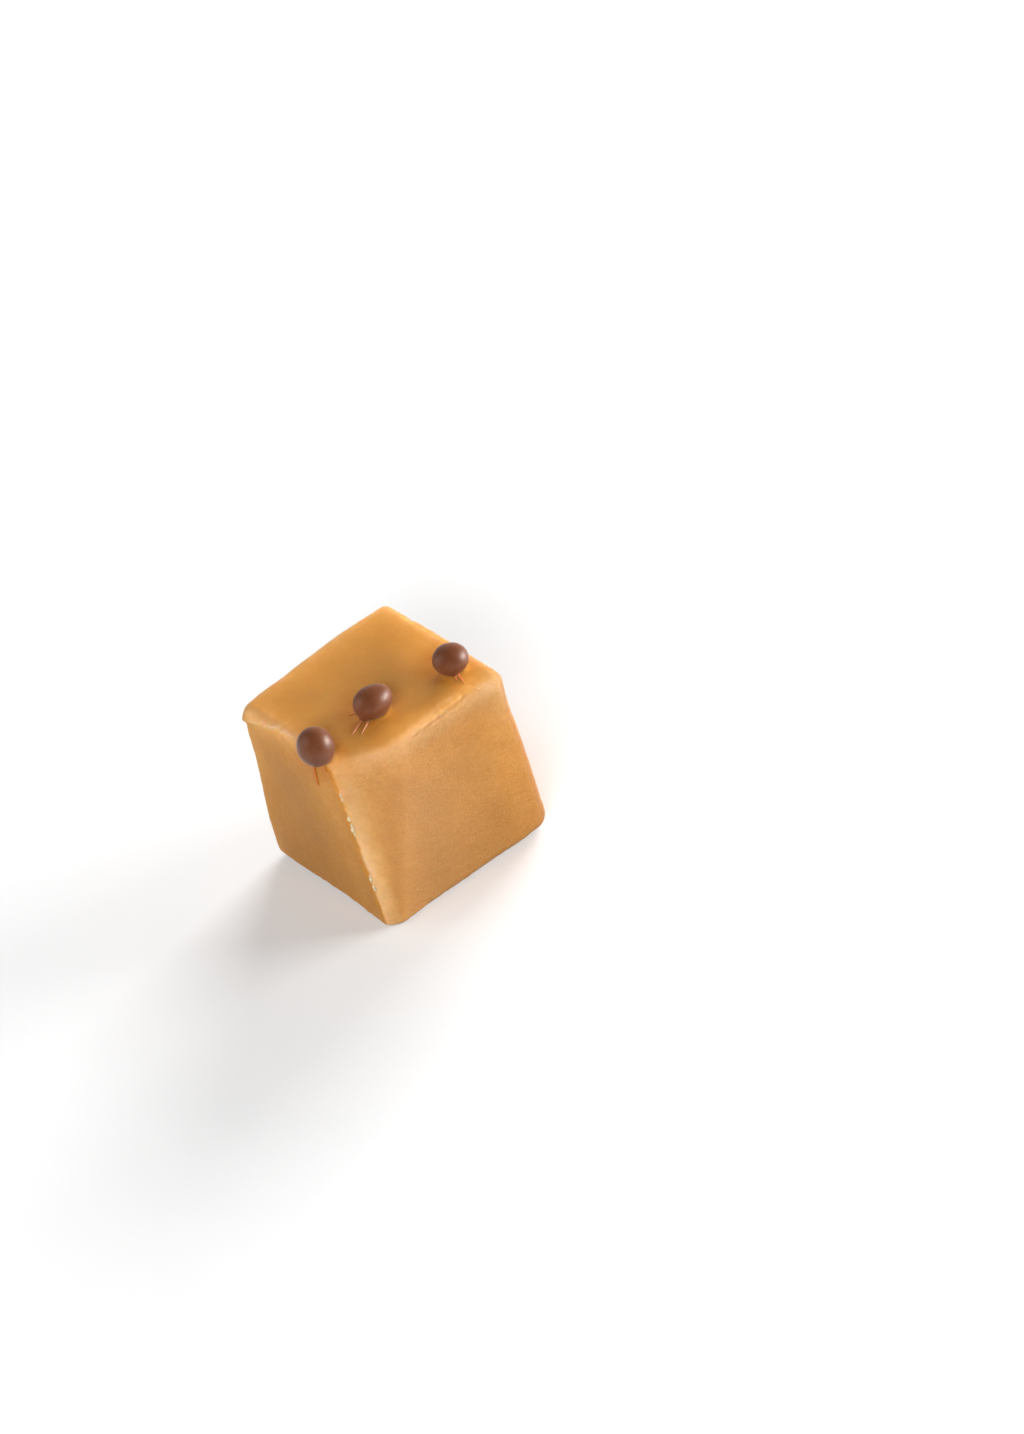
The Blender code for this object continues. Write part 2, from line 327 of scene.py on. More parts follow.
CRUMB_SHIFT = 3.7               # from one crumb's lumps to the next one's
LINE_STEP = 0.05 * MM           # steps along Y of the search for the worn edge's crisp line
LINE_STEPS = 40                 # to each side

# Colours of the fudge, from its edges inwards and then over its faces
EDGE_RANGE = 8.0                # mm from an edge at the end of the colour ramp
EDGE_WANDER = 1.6               # mm by which its steps wander
FUDGE_STOPS = (
    (0.00, (0.79, 0.460, 0.225, 1.0)),
    (0.12, (0.74, 0.395, 0.140, 1.0)),
    (0.28, (0.65, 0.300, 0.070, 1.0)),
    (0.55, (0.57, 0.252, 0.050, 1.0)),
    (1.00, (0.51, 0.230, 0.050, 1.0)),
)
CLOUDS = ((0.3, (0.95, 0.93, 0.89, 1.0)), (0.7, (1.05, 1.06, 1.07, 1.0)))
MOTTLE = ((0.3, (0.94, 0.93, 0.90, 1.0)), (0.7, (1.05, 1.06, 1.09, 1.0)))
MOTTLE_SKIN = 0.3               # how much of the mottling shows on the top's skin
MILKY = (0.80, 0.52, 0.32, 1.0)
FRONT_MILKY = 0.13              # how much of the milky colour shows on the left of the front face
SUGAR = (0.86, 0.55, 0.28, 1.0)
SUGAR_SHARE = 0.4
SIDE_DEEP = (1.0, 0.97, 0.88, 1.0)          # the other cut faces are a little more golden
SIDE_TOP_PAINTED_LIGHT = (1.14, 1.14, 1.10, 1.0)     # and lighter towards the top: painted light
BASE_PAINTED_SHADE = (0.86, 0.83, 0.76, 1.0)         # the cut faces darken by this towards the base: painted shade
TOP_RIGHT_PAINTED_LIGHT = (1.18, 1.16, 1.06, 1.0)      # and the top brightens by this towards the right: painted light
# Tints: painted shade on the band under the front edge and on the right face, painted shadow behind each drop
# and painted warm glow before it, a painted highlight at the corner, paler wear with painted light on the
# worn strip, and paler fudge along the seam
TINTS = (
    ("band", (0.77, 0.75, 0.71, 1.0)),
    ("worn", (1.13, 1.20, 1.25, 1.0)),
    ("painted shadow", (0.86, 0.74, 0.64, 1.0)),
    ("painted glow", (1.03, 0.96, 0.79, 1.0)),
    ("corner", (1.00, 1.26, 2.10, 1.0)),
    ("seam", (0.94, 1.02, 1.32, 1.0)),
    ("right", (0.84, 0.82, 0.98, 1.0)),
)

# Stretches of those colours, in mm
MILKY_MM_X = (9.0, -9.0)
SIDE_LIGHT_MM_Z = (13.0, 24.0)
BASE_SHADE_MM_Z = (15.0, 1.0)
BASE_SHADE_EDGE = (0.5, 3.0)     # from the nearest edge
TOP_LIGHT_MM_X = (4.0, 12.5)
TOP_LIGHT_MM_Y = (-12.0, -4.0)

# Noises of the shaders: how many to the mm, detail and roughness, where they aren't the usual ones
NOISE_MEAN = 0.5
EDGE_NOISE = (0.7, 3.0)
CLOUD_NOISE = (0.16, 3.0)
MOTTLE_NOISE = (1.7, 4.0, 0.6)
GLOSS_NOISE = (0.9, 3.0)
GRAIN_NOISE = (2.6, 5.0, 0.65)
SILKY_NOISE = (3.2, 4.0, 0.7)
SCRATCH_NOISE = (1.0, 3.0)
SMEAR_NOISE = (1.0, 3.0, 0.6)
CRUMB_NOISE = (3.0, 2.0)
CRUMB_GRAIN_NOISE = (9.0,)
COCOA_NOISE = (0.5, 4.0, 0.6)
COCOA_GLOSS_NOISE = (1.4, 3.0)
COCOA_FINE_NOISE = (5.0, 3.0)
COCOA_WAVE_NOISE = (0.9, 2.0)
THREAD_NOISE = (1.2, 3.0)
FLOOR_NOISE = (0.02, 3.0)

# Sparse sugar specks: cells to the mm, radius in cells, and how rare they are
SUGAR_CELLS = 2.0
SUGAR_RADIUS = (0.20, 0.08)
SUGAR_RARE = (0.62, 0.75)

# Bumps of the materials: strength and height
FUDGE_BUMP = (0.85, 0.18 * MM)
CRUMB_BUMP = (0.4, 0.08 * MM)
COCOA_BUMP = (0.12, 0.15 * MM)
COCOA_FINE_BUMP = 0.5           # the fine waves' strength over the slow ones'

# Layers of the fudge's bump: share of the grain on the skin, strength of the others over the grain's,
# and the turn and the scale of the layers that lie aslant
GRAIN_SKIN = 0.15
SUGAR_BUMP = 0.6
SMEAR_BUMP = 0.9
SCRATCH_BUMP = 0.8
SILKY_ROTATION = (0.0, math.radians(-20.0), 0.0)
SILKY_SCALE = (1.0, 1.0, 2.4)
SMEAR_ROTATION = (0.0, math.radians(18.0), 0.0)
SMEAR_SCALE = (0.45, 0.45, 2.6)
SCRATCH_ROTATION = (math.radians(-25.0), 0.0, 0.0)
SCRATCH_SCALE = (0.2, 0.35, 3.0)
SCRATCH_RANGE = (0.52, 0.66)
SCRATCH_PLACE = (-13.7, -1.5, 11.5)         # mm, low on the left face
SCRATCH_FADE = (5.5, 1.5)                   # mm from that place

# Roughness of the fudge: on the skin, how much duller the cut faces are, and how far it wanders
SKIN_ROUGH = 0.40
CUT_DULLER = 0.12
ROUGH_WANDER = 0.16

# Roughness of the chocolate
COCOA_ROUGH = 0.37
COCOA_ROUGH_WANDER = 0.10

# Other settings of the shaders
FUDGE_LOOK = {
    "Specular IOR Level": 0.3,
    "Subsurface Weight": 0.65,
    "Subsurface Radius": (1.0, 0.5, 0.22),
    "Subsurface Scale": 1.3 * MM,
}
CRUMB_LOOK = {
    "Roughness": 0.6,
    "Subsurface Weight": 0.6,
    "Subsurface Radius": (1.0, 0.5, 0.22),
    "Subsurface Scale": 0.8 * MM,
}
COCOA_LOOK = {
    "Specular IOR Level": 0.6,
    "Specular Tint": (1.0, 0.86, 0.78, 1.0),
    "Sheen Weight": 0.08,
    "Sheen Roughness": 0.4,
    "Sheen Tint": (1.0, 0.78, 0.70, 1.0),
    "Subsurface Weight": 0.1,
    "Subsurface Radius": (1.0, 0.4, 0.2),
    "Subsurface Scale": 0.8 * MM,
}
THREAD_LOOK = {
    "Roughness": 0.38,
    "Subsurface Weight": 0.5,
    "Subsurface Radius": (1.0, 0.45, 0.2),
    "Subsurface Scale": 0.6 * MM,
}
FLOOR_LOOK = {"Roughness": 0.9}

# Colours of the other materials, each between a darker and a lighter one
CRUMB_STOPS = ((0.3, (0.86, 0.55, 0.30, 1.0)), (0.7, (0.95, 0.73, 0.50, 1.0)))
COCOA_STOPS = ((0.3, (0.130, 0.038, 0.014, 1.0)), (0.7, (0.160, 0.052, 0.021, 1.0)))
FLOOR_STOPS = ((0.3, (0.90, 0.90, 0.90, 1.0)), (0.7, (0.93, 0.93, 0.93, 1.0)))
THREAD_STOPS = {
    "drop_left": ((0.3, (0.49, 0.155, 0.020, 1.0)), (0.7, (0.60, 0.205, 0.032, 1.0))),
    "drop_middle": ((0.3, (0.47, 0.165, 0.060, 1.0)), (0.7, (0.59, 0.240, 0.095, 1.0))),
    "drop_right": ((0.3, (0.62, 0.180, 0.050, 1.0)), (0.7, (0.78, 0.260, 0.080, 1.0))),
}

# Camera, at the photograph's angle and framing
LENS = 110.07                   # mm on a 36 mm sensor
SENSOR = 36.0
DISTANCE = 0.6
AZIMUTH = math.radians(-29.9)
ELEVATION = math.radians(37.0)
ROLL = math.radians(-15.4)
AIM = (0.0182, -0.0034, 0.0109)
NEAREST = 0.01

# Lights: name, direction from the block, distance, width and height in metres, watts, and whether it leaves
# a highlight
LIGHTS = (
    ("side_softbox", (0.88, -0.46, 0.17), 0.9, 0.52, 0.32, 11.2, True),
    ("right_fill", (0.98, 0.0, 0.17), 0.9, 0.52, 0.32, 2.0, False),
    ("back_softbox", (0.85, 0.45, 0.3), 1.0, 0.6, 0.52, 14.4, False),
    ("key", (-0.61, -0.69, 0.38), 1.2, 0.7, 0.7, 16.0, False),
    ("left_shine", (-0.72, 0.48, 0.5), 1.0, 0.9, 0.9, 3.0, True),
    ("back_left_fill", (-0.55, 0.8, 0.2), 1.2, 0.8, 0.6, 2.0, False),
    ("overhead", (0.3, 0.8, 0.5), 1.2, 0.8, 0.6, 0.72, True),
)
WORLD_GLOW = 0.01
FLOOR_HALF = 3.0


def smooth_step(low, high, value):
    t = np.clip((value - low) / (high - low), 0.0, 1.0)
    return t * t * (3.0 - 2.0 * t)


def hill(distance, reach):
    return np.exp(-(distance / reach) ** 2)


def facing(normals, side, turn):
    """How much the surface faces a side, over the range that turn gives."""
    axis, sign = side
    return smooth_step(*turn, sign * normals[:, axis])


def soft_max(a, b, softness):
    overlap = np.maximum(softness - np.abs(a - b), 0.0)
    return np.maximum(a, b) + overlap * overlap / (4.0 * softness)


def swell(u, v, hills):
    height = 0.0
    for middle_u, middle_v, reach_u, reach_v, rise in hills:
        height = height + rise * hill(u - middle_u, reach_u) * hill(v - middle_v, reach_v)
    return height


def corner_radius(x, y, z):
    """Radius at a point, blended between the eight corners."""
    share = (
        np.clip(0.5 + x / TOP_WIDTH, 0.0, 1.0),
        np.clip(0.5 + y / TOP_DEPTH, 0.0, 1.0),
        np.clip(z / HEIGHT, 0.0, 1.0),
    )
    radius = 0.0
    for sides, corner in CORNER_RADIUS.items():
        weight = 1.0
        for side, part in zip(sides, share):
            weight = weight * (part if side > 0 else 1.0 - part)
        radius = radius + corner * weight
    return radius


def slant(top, front, width, drop):
    """Slanting face that reaches width across the top and drop down the front."""
    slope = np.sqrt(width ** -2 + drop ** -2)
    return (1.0 + top / drop + front / width) / slope


def wear_front(left, front, take_left, take_front):
    """The front face's distance with its side towards the left face worn back."""
    share = np.maximum(1.0 + left / take_front, 0.0)
    slope = WORN_CURVE * take_left / take_front * share ** (WORN_CURVE - 1.0)
    return (front + take_left * share ** WORN_CURVE) / np.sqrt(1.0 + slope * slope)


def wander(along, reach):
    """Smooth wave of up to about reach, from sines that never fall in step."""
    turn = 2.0 * math.pi / LIP_WAVE_SIZE
    return reach * sum(np.sin(turn * pitch * along + phase) for pitch, phase in WAVE_SINES) / WAVE_HEIGHT


def left_lip_line(y):
    """Height of the left lip's lower edge, which rises towards the front."""
    sag = (LEFT_LIP_DEPTH - LEFT_LIP_RISEN) * (np.maximum(y, 0.0) / LEFT_LIP_BACK) ** 2
    return HEIGHT - LEFT_LIP_RISEN - sag + wander(y, LIP_WAVE) * smooth_step(*LIP_WAVE_Y, y)


def side_distances(points):
    """Distances from the block's three pairs of sides, negative inside, and from its top and its front."""
    x, y, z = points[:, 0], points[:, 1], points[:, 2]
    down = np.clip(1.0 - z / HEIGHT, 0.0, 1.0)
    half_x = TOP_WIDTH / 2 + FLARE_X * down
    half_y = TOP_DEPTH / 2 + FLARE_Y * down

    left_lip = LEFT_LIP * smooth_step(*LEFT_LIP_Y, y)
    left_lip = left_lip * smooth_step(-LIP_STEP, LIP_STEP, z - left_lip_line(y))
    front_line = HEIGHT - FRONT_LIP_DEPTH + wander(x, FRONT_WAVE)
    front_lip = FRONT_LIP * smooth_step(*FRONT_LIP_START_X, x) * smooth_step(*FRONT_LIP_END_X, x)
    front_lip = front_lip * smooth_step(-LIP_STEP, LIP_STEP, z - front_line)

    left = -x - half_x - left_lip - swell(y, z, LEFT_SWELLS)
    right = x - half_x - swell(y, z, RIGHT_SWELLS)
    front = -y - half_y - front_lip - swell(x, z, FRONT_SWELLS)
    back = y - half_y - swell(x, z, BACK_SWELLS)
    top = z - HEIGHT - swell(x, y, TOP_SWELLS)

    worn_left = WORN_LEFT_TOP + (WORN_LEFT_BASE - WORN_LEFT_TOP) * down
    worn_front = WORN_FRONT_TOP + (WORN_FRONT_BASE - WORN_FRONT_TOP) * down
    front = wear_front(left, front, worn_left, worn_front)
    pairs = (np.maximum(left, right), np.maximum(front, back), np.maximum(top, -z))
    return np.stack(pairs, axis=1), top, front


def block_distance(points):
    """Distance of each point from the block's surface, negative inside."""
    sides, top, front = side_distances(points)
    radius = corner_radius(points[:, 0], points[:, 1], points[:, 2])
    past = sides + radius[:, None]
    box = np.linalg.norm(np.maximum(past, 0.0), axis=1) + np.minimum(past.max(axis=1), 0.0) - radius
    return soft_max(box, slant(top, front, FRONT_EDGE_TOP, FRONT_EDGE_DROP), FRONT_EDGE_SOFT)


def outward(points):
    """Unit direction in which the block's distance grows."""
    rise = []
    for step in np.eye(3) * NORMAL_STEP:
        rise.append(block_distance(points + step) - block_distance(points - step))
    rise = np.stack(rise, axis=1)
    return rise / np.linalg.norm(rise, axis=1, keepdims=True)


def bumps(points, size, octaves, seed):
    """Smooth noise between about -1 and 1, with bumps of the given size."""
    places = points / size + seed
    return np.array([noise.fractal(Vector(place), FRACTAL_FADE, FRACTAL_STEP, octaves) for place in places])


def uneven_strength(points, stretch, layer, strength):
    """Strength that comes and goes along a line, from its middle, its swing and its least."""
    middle, swing, least = strength
    return np.clip(middle + swing * bumps(points * stretch, *layer), least, STRENGTH_MOST)


def edge_distance(points, normals, with_base=True):
    """Distance of each surface point from the nearest edge, made more or less as the pale band needs, and
    more on the right as painted shade.
    """
    sides, top, front = side_distances(points)
    if not with_base:
        sides[:, 2] = top
    edge = -np.sort(sides, axis=1)[:, 1]
    near_worn = facing(normals, LEFT, WORN_LEFT_TURN) * smooth_step(*WORN_LEFT_NEAR, front)
    # Painted shade: the pale band is taken off the front face's right edge and off the right face
    near_right = facing(normals, FRONT, RIGHT_EDGE_SHADE_TURN) * smooth_step(*RIGHT_EDGE_SHADE_X, points[:, 0])
    on_top = facing(normals, TOP, TOP_FRONT_TURN) * smooth_step(*TOP_FRONT_Y, points[:, 1])
    edge = edge + WORN_LEFT_PALE * near_worn + RIGHT_EDGE_SHADE * near_right + TOP_FRONT_DEEP * on_top
    edge = edge + RIGHT_SIDE_SHADE * facing(normals, RIGHT, RIGHT_SIDE_TURN)
    less = TOP_PALE * facing(normals, FRONT, TOP_PALE_TURN) * smooth_step(*TOP_PALE_Z, points[:, 2])
    return edge * (1.0 - less)


def shade_band_share(points, normals):
    """How much each point belongs to the painted shade band under the front face's top edge."""
    x, z = points[:, 0], points[:, 2]
    down = BAND_WIDE * smooth_step(*BAND_WIDE_Z, z) + (1.0 - BAND_WIDE) * smooth_step(*BAND_Z, z)
    across = smooth_step(*BAND_START_X, x) * smooth_step(*BAND_END_X, x)
    return down * across * facing(normals, FRONT, FRONT_TURN)


def highlight_corner_share(points):
    """How near each point is to the painted highlight at the pale corner."""
    return hill(np.linalg.norm((points - HIGHLIGHT_CORNER) / CORNER_REACH, axis=1), 1.0)


def worn_and_lit_strip_share(points, normals):
    """How much of the worn edge's palest strip, paler wear and painted light, shows at each point."""
    strip = facing(normals, LEFT, STRIP_START_TURN) * facing(normals, LEFT, STRIP_END_TURN)
    strip = strip * facing(normals, FRONT, STRIP_FRONT_TURN)
    return strip * smooth_step(*STRIP_START_Z, points[:, 2]) * smooth_step(*STRIP_END_Z, points[:, 2])


def shadow_and_glow_shares(points):
    """Shares of the painted shadow behind the drops and of the painted warm glow before them."""
    dark = 0.0
    golden = 0.0
    for drop in DROPS.values():
        across = (points[:, 0] - drop["x"]) / drop["half"][0]
        behind = points[:, 1] - drop["y"]
        along = (behind - SHADOW_GLOW_BACK) / (drop["half"][1] + SHADOW_GLOW_BACK)
        shade_patch = smooth_step(*SHADOW_GLOW_FADE, np.hypot(across, along))
        part = smooth_step(*SHADOW_GLOW_SPLIT_Y, behind)
        dark = np.maximum(dark, shade_patch * part)
        golden = np.maximum(golden, shade_patch * (1.0 - part))
    near_top = smooth_step(*SHADOW_GLOW_Z, points[:, 2])
    return dark * near_top, golden * near_top


def crease_line(x):
    return CREASE_HEIGHT + CREASE_SLOPE * x + wander(x, CREASE_WAVE)


def crease_share(points, normals):
    """How deep the crease under the front face's top edge is at each point."""
    x = points[:, 0]
    share = hill(points[:, 2] - crease_line(x), CREASE_WIDTH) * facing(normals, FRONT, CREASE_TURN)
    share = share * smooth_step(*CREASE_START_X, x) * smooth_step(*CREASE_END_X, x)
    return share * uneven_strength(points, CREASE_STRETCH, CREASE_BUMPS, CREASE_STRENGTH)


def ridge_share(points, normals):
    """How much of the ridge over the crease stands at each point."""
    x = points[:, 0]
    share = hill(points[:, 2] - crease_line(x) - RIDGE_OVER, RIDGE_WIDTH)
    share = share * facing(normals, FRONT, CREASE_TURN)
    share = share * smooth_step(*RIDGE_START_X, x) * smooth_step(*RIDGE_END_X, x)
    return share * uneven_strength(points, RIDGE_STRETCH, RIDGE_BUMPS, RIDGE_STRENGTH)


def combed_height(points, normals):
    """Combed roughness round the ridge and the crease."""
    x = points[:, 0]
    share = hill(points[:, 2] - crease_line(x) - RIDGE_OVER / 2, COMBED_REACH)
    share = share * facing(normals, FRONT, COMBED_TURN) * smooth_step(*COMBED_X, x)
    return COMBED_RISE * share * bumps(points * COMBED_STRETCH, *COMBED_BUMPS)


def seam_share(points, normals):
    """How much of the seam along the left lip's lower edge stands at each point."""
    y = points[:, 1]
    share = hill(points[:, 2] - left_lip_line(y) - SEAM_OVER, SEAM_WIDTH) * facing(normals, LEFT, SEAM_TURN)
    share = share * smooth_step(*SEAM_START_Y, y) * smooth_step(*SEAM_END_Y, y)
    return share * uneven_strength(points, SEAM_STRETCH, SEAM_BUMPS, SEAM_STRENGTH)


def nibble_height(points, normals):
    """Little bites along the worn edge's crisp line."""
    on_line = hill(-normals[:, 0] - WORN_LINE_FACES, WORN_LINE_WIDTH)
    on_line = on_line * facing(normals, FRONT, WORN_LINE_TURN)
    nibble = np.minimum(bumps(points, *NIBBLE_BUMPS), NIBBLE_OUT)
    return NIBBLE_DEPTH * on_line * nibble * smooth_step(*NIBBLE_Z, points[:, 2])


def foot_height(points, normals):
    """Low rim of skin round the foot of each drop."""
    height = 0.0
    for drop in DROPS.values():
        away = np.hypot(points[:, 0] - drop["x"], points[:, 1] - drop["y"]) / drop["half"][1]
        height = height + FOOT_RISE * np.exp(-(away - FOOT_MIDDLE) ** 2 / FOOT_SPREAD)
    return height * facing(normals, TOP, FOOT_TURN)


def cut_share(normals):
    return 1.0 - facing(normals, TOP, CUT_TURN)


def relief(points, normals, edge):
    """Height of the surface's fine shape over the plain block."""
    cut = cut_share(normals)
    height = SLOW_RISE * bumps(points, *SLOW_BUMPS)
    height = height + cut * KNIFE_RISE * bumps(points, *KNIFE_BUMPS)
    height = height + cut * FINE_RISE * bumps(points, *FINE_BUMPS)
    height = height + cut * EDGE_RISE * hill(edge, EDGE_REACH) * bumps(points, *EDGE_BUMPS)
    height = height + cut * ROUGH_RISE * hill(edge, ROUGH_REACH) * bumps(points, *ROUGH_BUMPS)
    height = height - CREASE_DEPTH * crease_share(points, normals)
    height = height + RIDGE_RISE * ridge_share(points, normals)
    height = height + SEAM_RISE * seam_share(points, normals) + combed_height(points, normals)
    height = height + nibble_height(points, normals) + foot_height(points, normals)
    height = height - NICK_DEPTH * hill(np.linalg.norm(points - NICK, axis=1), NICK_REACH)
    lump = np.linalg.norm(points - LUMP, axis=1)
    height = height + LUMP_RISE * np.exp(-(lump / LUMP_REACH) ** LUMP_FLAT)
    return height * smooth_step(*BASE_FADE_Z, points[:, 2])


def crowd(value):
    """Moves a place between -1 and 1 towards the nearer end."""
    return (1.0 - EDGE_CROWDING) * value + EDGE_CROWDING * np.sin(value * math.pi / 2)


def share_allowed(start, rays, limit, allowed):
    """How far each ray can be followed while allowed(points) holds, as a share of the ray up to limit."""
    near = np.where(allowed(start + rays * limit), limit, 0.0)
    far = np.full(len(rays), limit)
    for _ in range(HALVINGS):
        halfway = (near + far) / 2
        good = allowed(start + rays * halfway[:, None])
        near = np.where(good, halfway, near)
        far = np.where(good, far, halfway)
    return near[:, None]


def in_block(points):
    return block_distance(points) <= 0.0


def nearly_clear_of_block(points):
    return block_distance(points) >= -DROP_SINK


def onto_block(points):
    """Moves points near the block's surface onto it, relief and all."""
    points = np.array(points, dtype=float)
    for _ in range(ONTO_STEPS):
        points = points - outward(points) * block_distance(points)[:, None]
    normals = outward(points)
    return points + normals * relief(points, normals, edge_distance(points, normals))[:, None]


def mesh_object(name, shape, material):
    mesh = bpy.data.meshes.new(name)
    shape.to_mesh(mesh)
    shape.free()
    mesh.materials.append(material)
    mesh.shade_smooth()
    item = bpy.data.objects.new(name, mesh)
    bpy.context.scene.collection.objects.link(item)
    return item


def dress(piece, node):
    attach(piece, "root")
    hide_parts(node)


def add_values(item, name, values):
    attribute = item.data.attributes.new(name, "FLOAT", "POINT")
    attribute.data.foreach_set("value", np.asarray(values, dtype=np.float32))


def make_fudge(material):
    shape = bmesh.new()
    bmesh.ops.create_cube(shape, size=2.0)
    bmesh.ops.subdivide_edges(shape, edges=shape.edges[:], cuts=CELLS - 1, use_grid_fill=True)
    rays = crowd(np.array([vertex.co for vertex in shape.verts]))
    rays *= (TOP_WIDTH / 2, TOP_DEPTH / 2, HEIGHT / 2)
    middle = np.array((0.0, 0.0, HEIGHT / 2))
    surface = middle + rays * share_allowed(middle, rays, RAY_LIMIT, in_block)
    surface[surface[:, 2] < BASE_SNAP, 2] = 0.0
    normals = outward(surface)
    surface = surface + normals * relief(surface, normals, edge_distance(surface, normals))[:, None]
    for vertex, place in zip(shape.verts, surface):
        vertex.co = place
    block = mesh_object("fudge_block", shape, material)

    seam = seam_share(surface, normals)
    pale = np.clip(RIDGE_PALE * ridge_share(surface, normals) + seam, 0.0, PALE_MOST)
    # Painted shadow behind the drops and painted warm glow before them
    dark, golden = shadow_and_glow_shares(surface)
    add_values(block, "edge", edge_distance(surface, normals, with_base=False) * (1.0 - pale) / MM)
    # Painted shade band under the front face's top edge
    add_values(block, "band", shade_band_share(surface, normals))
    # Painted highlight at the corner of the top, the front and the right face
    add_values(block, "corner", highlight_corner_share(surface))
    add_values(block, "seam", seam)
    # Painted shade on the right face
    add_values(block, "right", facing(normals, RIGHT, RIGHT_TURN))
    # Palest strip of the worn edge: paler wear and painted light
    add_values(block, "worn", worn_and_lit_strip_share(surface, normals))
    add_values(block, "painted shadow", dark)
    add_values(block, "painted glow", golden)
    add_values(block, "cut", cut_share(normals))
    add_values(block, "front", facing(normals, FRONT, FRONT_TURN))
    dress(block, "fudge")


def make_drop(name, material, x, y, rise, half, egg):
    shape = bmesh.new()
    bmesh.ops.create_uvsphere(shape, u_segments=DROP_AROUND, v_segments=DROP_UP, radius=1.0)
    ball = np.array([vertex.co for vertex in shape.verts])
    uneven = 1.0 + DROP_UNEVEN * bumps(ball, DROP_BUMP_SIZE, 1, DROP_SEED * x)
    towards, reach = TAILS[name]
    towards = np.array(towards) / np.linalg.norm(towards)
    uneven = uneven + reach * hill(np.arccos(np.clip(ball @ towards, -1.0, 1.0)), TAIL_WIDTH)
    ball[:, 1:] *= (1.0 - egg * ball[:, 0])[:, None]
    ball *= uneven[:, None] * half
    middle = np.array((x, y, HEIGHT + rise))
    ball *= share_allowed(middle, ball, 1.0, nearly_clear_of_block)
    for vertex, place in zip(shape.verts, ball):
        vertex.co = place + middle
    dress(mesh_object("chocolate_" + name, shape, material), name)


def add_thread(shape, start, end, bend, sway, width):
    """A flattened tube that lies on the block from start to end, thinner towards the end."""
    share = np.linspace(0.0, 1.0, THREAD_RINGS)[:, None]
    start = np.array(start) * MM
    end = np.array(end) * MM
    progress = np.hstack((share, 1.0 - (1.0 - share) ** bend, share))
    line = onto_block(start + (end - start) * progress)
    normals = outward(line)
    along = np.gradient(line, axis=0)
    across = np.cross(along, normals)
    across /= np.linalg.norm(across, axis=1, keepdims=True)
    line = line + across * sway * MM * np.sin(share * math.pi * THREAD_SWAY)
    round_end = np.sqrt(np.clip(1.0 + THREAD_STUB - share ** THREAD_BLUNT, 0.0, 1.0))
    half = width * MM / 2 * (1.0 - (1.0 - THREAD_TIP) * share) * round_end
    rings = []
    for middle, side, up, reach in zip(line, across, normals, half[:, 0]):
        ring = []
        for turn in np.linspace(0.0, 2.0 * math.pi, THREAD_SIDES, endpoint=False):
            lift = (math.sin(turn) + THREAD_LIFT) * THREAD_FLAT
            offset = (side * math.cos(turn) + up * lift) * reach
            ring.append(shape.verts.new(middle + offset))
        rings.append(ring)
    for low, high in zip(rings, rings[1:]):
        for i in range(THREAD_SIDES):
            j = (i + 1) % THREAD_SIDES
            shape.faces.new((low[i], low[j], high[j], high[i]))
    shape.faces.new(rings[0][::-1])
    shape.faces.new(rings[-1])


def make_threads(materials):
    for name in DROPS:
        shape = bmesh.new()
        for drop, *shape_of_thread in THREADS:
            if drop == name:
                add_thread(shape, *shape_of_thread)
        bmesh.ops.recalc_face_normals(shape, faces=shape.faces[:])
        dress(mesh_object("threads_" + name, shape, materials[name]), name)


def add_crumb(shape, place, size, seed):
    """A small uneven lump, longer upright than across, half sunk in the block."""
    crumb = bmesh.ops.create_icosphere(shape, subdivisions=CRUMB_FINE, radius=1.0)["verts"]
    place = Vector(place)
    for vertex in crumb:
        where = vertex.co * CRUMB_LUMP_RATE + Vector((seed, 0.0, 0.0))
        lumpy = 1.0 + CRUMB_LUMPS * noise.fractal(where, FRACTAL_FADE, FRACTAL_STEP, CRUMB_OCTAVES)
        vertex.co = place + vertex.co * CRUMB_SHAPE * lumpy * size


def worn_line(height):
    """Point of the worn edge's crisp line at a height."""
    down = 1.0 - height / HEIGHT
    y = -TOP_DEPTH / 2 + WORN_LEFT_TOP + (WORN_LEFT_BASE - WORN_LEFT_TOP) * down
    tries = [(-TOP_WIDTH / 2, y + step * LINE_STEP, height) for step in range(-LINE_STEPS, LINE_STEPS + 1)]
    tries = onto_block(tries)
    return tries[np.argmin(np.abs(-outward(tries)[:, 0] - WORN_LINE_FACES))]


def make_crumbs(material):
    shape = bmesh.new()
    places = [worn_line(height * MM) for height in CHIP_HEIGHTS]
    sizes = list(CHIP_SIZES)
    for x, y, z, size in SPECKS:
        places.append((x * MM, y * MM, z * MM))
        sizes.append(size)
    draw = random.Random(CRUMB_SEED)
    for _ in range(LOOSE_CRUMBS):
        across = draw.uniform(*LOOSE_ACROSS) * MM
        height = draw.uniform(*LOOSE_HEIGHTS) * MM
        if draw.random() < LOOSE_FRONT:
            places.append((across, -TOP_DEPTH / 2, height))
        else:
            places.append((-TOP_WIDTH / 2, across * LOOSE_LEFT_SCALE + LOOSE_LEFT_BACK * MM, height))
        sizes.append(draw.uniform(*LOOSE_SIZE))
    for number, (place, size) in enumerate(zip(onto_block(places), sizes)):
        add_crumb(shape, place, size * MM, number * CRUMB_SHIFT)
    dress(mesh_object("fudge_crumbs", shape, material), "fudge")


def new_material(name, look):
    """A material with its constant settings, its node tree and its main shader."""
    material = bpy.data.materials.new(name)
    material.use_nodes = True
    tree = material.node_tree
    shader = tree.nodes["Principled BSDF"]
    for setting, value in look.items():
        shader.inputs[setting].default_value = value
    return material, tree, shader


